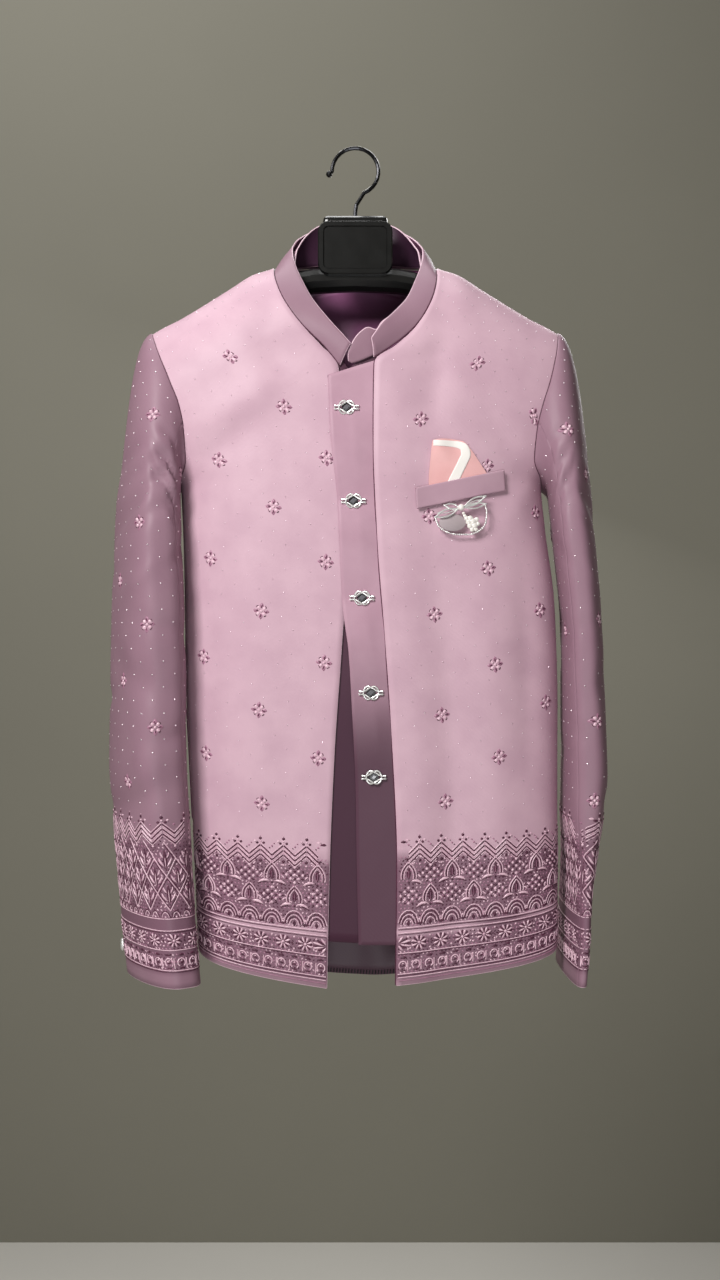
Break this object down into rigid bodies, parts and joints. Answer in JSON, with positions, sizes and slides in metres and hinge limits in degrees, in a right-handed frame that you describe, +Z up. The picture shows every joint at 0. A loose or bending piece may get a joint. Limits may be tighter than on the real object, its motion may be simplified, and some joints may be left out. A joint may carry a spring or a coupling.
{
  "type": "indo-western sherwani",
  "caption": "Short embroidered satin jacket with a stand collar over an attached buttoned plain front, open at the hem, on a suit hanger with a neck plate and wire hook.",
  "frame": {"origin": "inside of the top of the hanger's hook, where a rod carries it", "axes": "+Z up, the front faces -Y, +X to the wearer's left"},
  "size_m": [0.5264, 0.1542, 0.8812],
  "materials": {
    "outer": "lilac satin, embroidered tone on tone",
    "inner": "plain darker satin",
    "lining": "dark plum satin",
    "square": "salmon pink satin",
    "silver": "bright silver-coloured trim",
    "hanger": "black satin plastic",
    "hook": "dark gunmetal wire"
  },
  "bodies": {
    "root": {"outer_front_right": "outer", "outer_front_left": "outer", "outer_back": "outer", "outer_collar": "outer", "topsleeve_right": "outer", "topsleeve_left": "outer", "undersleeve_right": "outer", "undersleeve_left": "outer", "pocket_welt": "outer", "inner_front_right": "inner", "inner_front_left": "inner", "inner_collar": "inner", "inner_placket": "inner", "back_lining": "lining", "pocket_square": "square", "brooch": "silver", "placket_button_1": "silver", "placket_button_2": "silver", "placket_button_3": "silver", "placket_button_4": "silver", "placket_button_5": "silver", "cuff_button_right": "silver", "cuff_button_left": "silver", "hanger_arms": "hanger", "hanger_neck": "hanger", "hanger_plate": "hanger", "hanger_hook": "hook"}
  },
  "joints": []
}
